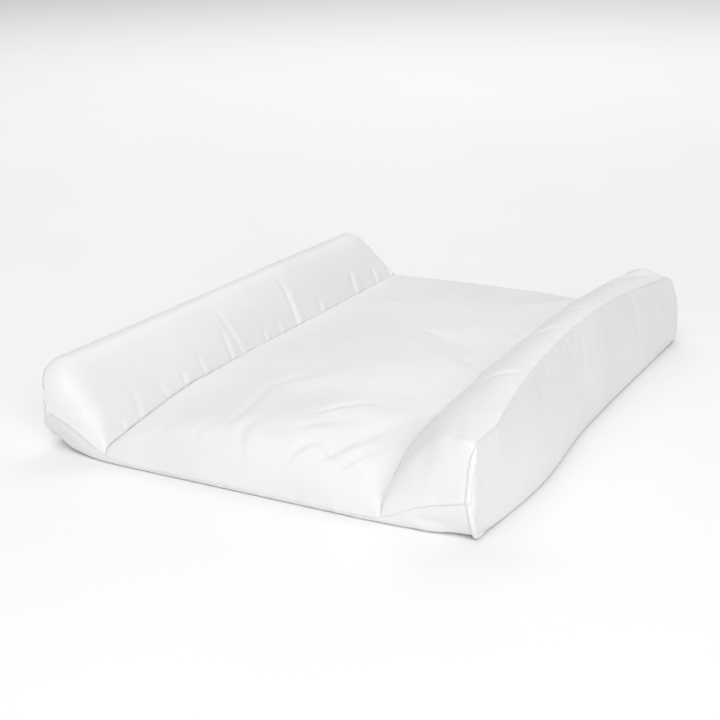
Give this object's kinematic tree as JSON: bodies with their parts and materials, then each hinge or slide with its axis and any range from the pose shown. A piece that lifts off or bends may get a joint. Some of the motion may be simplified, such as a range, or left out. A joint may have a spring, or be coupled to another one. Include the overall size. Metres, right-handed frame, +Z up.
{
  "type": "changing pad",
  "caption": "Padded baby changing pad with a low, softly filled lying surface between two wedge-shaped foam side bolsters, in a wipe-clean sewn cover that zips shut at the back end.",
  "frame": {"origin": "on the resting plane, under the middle of the pad", "axes": "+X across the pad towards the right bolster, +Y along the pad towards the back end, which has the zip, +Z up"},
  "size_m": [0.5, 0.7025, 0.1011],
  "materials": {
    "cover_fabric": "satin wipe-clean coating over a fine knit",
    "underside_fabric": "matt wipe-clean coating",
    "seam_welt": "folded coated fabric",
    "baffle_fabric": "non-woven",
    "thread": "twisted polyester",
    "foam": "open-cell foam",
    "wadding": "fibre wadding",
    "zip_tape": "woven tape",
    "zip_coil": "nylon",
    "zip_metal": "white lacquer"
  },
  "bodies": {
    "pad": {"bottom_panel": "underside_fabric", "centre_top_panel": "cover_fabric", "left_bolster_panel": "cover_fabric", "right_bolster_panel": "cover_fabric", "left_side_gusset": "cover_fabric", "right_side_gusset": "cover_fabric", "left_baffle": "baffle_fabric", "right_baffle": "baffle_fabric", "front_left_corner_welt": "seam_welt", "front_right_corner_welt": "seam_welt", "back_left_corner_welt": "seam_welt", "back_right_corner_welt": "seam_welt", "left_crease_stitching": "thread", "right_crease_stitching": "thread", "left_top_stitching": "thread", "right_top_stitching": "thread", "front_seam_stitching": "thread", "zip_upper_stitching": "thread", "zip_lower_stitching": "thread", "left_wedge_foam": "foam", "right_wedge_foam": "foam", "left_wedge_wadding": "wadding", "right_wedge_wadding": "wadding", "centre_foam_slab": "foam", "centre_wadding": "wadding", "zip_upper_tape": "zip_tape", "zip_lower_tape": "zip_tape", "zip_upper_coil": "zip_coil", "zip_lower_coil": "zip_coil", "zip_stops": "zip_metal"},
    "slider": {"zip_slider": "zip_metal"},
    "pull_tab": {"zip_pull_tab": "zip_metal"}
  },
  "joints": [
    {"name": "zip_slide", "type": "slide", "parent": "pad", "child": "slider", "axis": [1, 0, 0], "range_m": [-0.42, 0]},
    {"name": "pull_tab_hinge", "type": "hinge", "parent": "slider", "child": "pull_tab", "pos_m": [0.21, 0.3492, 0.017], "axis": [0, 0, -1], "range_deg": [0, 180]}
  ]
}
